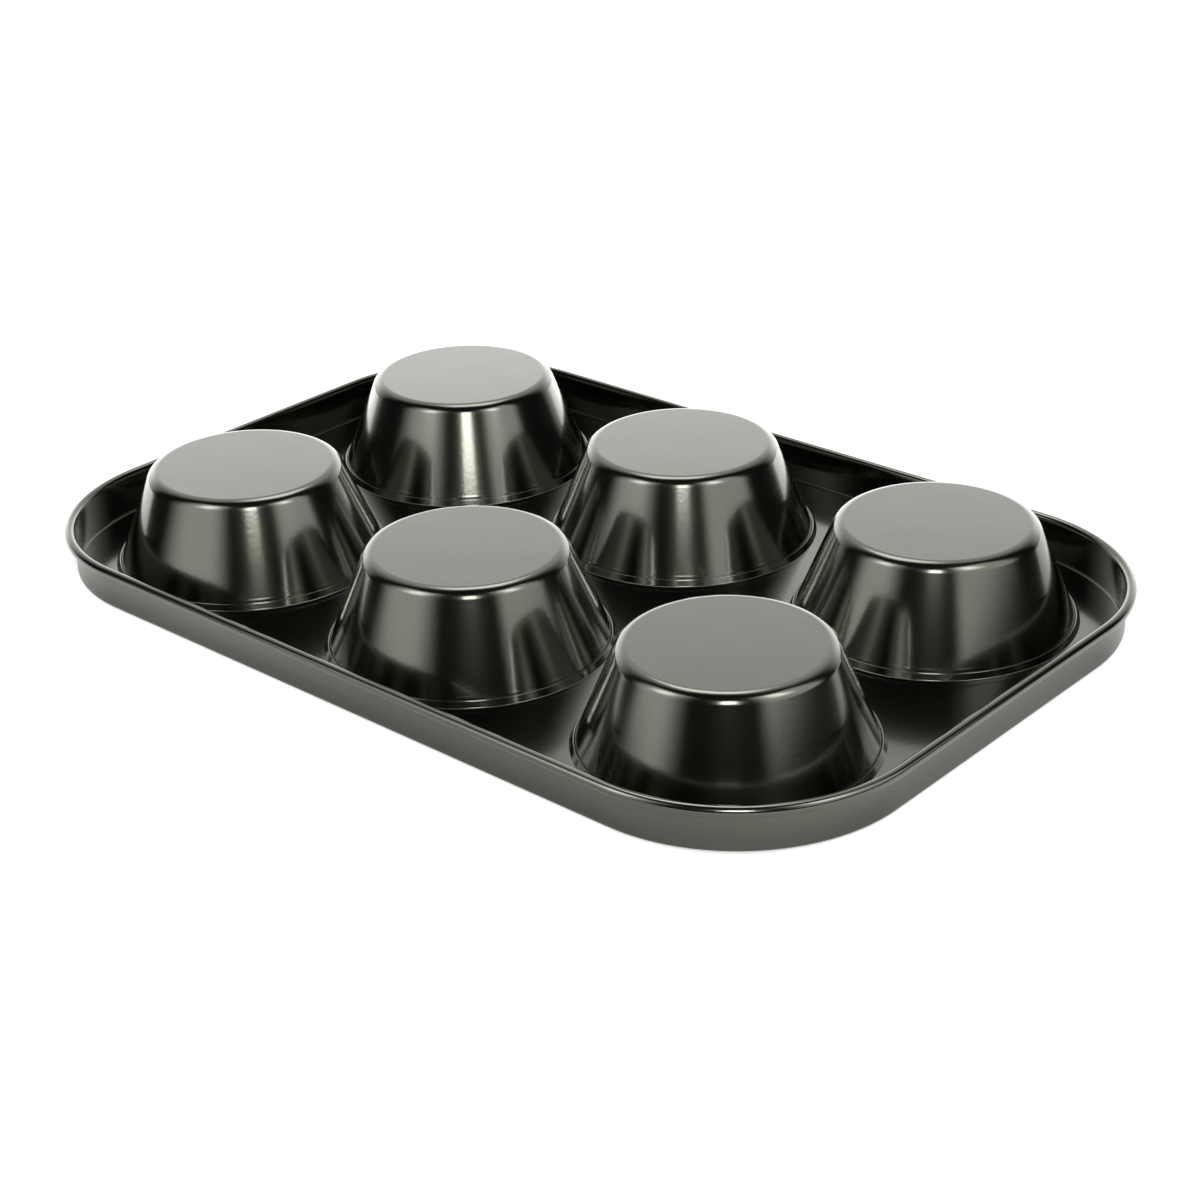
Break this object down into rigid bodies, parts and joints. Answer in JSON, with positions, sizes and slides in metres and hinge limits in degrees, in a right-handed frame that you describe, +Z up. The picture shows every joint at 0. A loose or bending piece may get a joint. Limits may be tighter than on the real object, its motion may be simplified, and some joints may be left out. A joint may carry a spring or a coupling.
{
  "type": "muffin pan",
  "caption": "Non-stick muffin pan with tapered cups seamed into a skirted steel tray whose edge is rolled over a wire; modelled upside down, cup bottoms up.",
  "frame": {"origin": "centre of the plane that the cup lips lie on, with the pan upside down as in the picture", "axes": "+X along the long side, +Y across the cup rows from the front row to the rear row, +Z up out of the cups' flat bottoms; for baking the pan is turned 180 degrees about X"},
  "size_m": [0.2648, 0.179, 0.0269],
  "materials": {
    "coated_steel": "satin-gloss dark non-stick coating",
    "wire_steel": "drawn steel wire"
  },
  "bodies": {
    "root": {"tray_frame": "coated_steel", "cup_front_left": "coated_steel", "cup_front_middle": "coated_steel", "cup_front_right": "coated_steel", "cup_rear_left": "coated_steel", "cup_rear_middle": "coated_steel", "cup_rear_right": "coated_steel", "rim_wire": "wire_steel"}
  },
  "joints": []
}
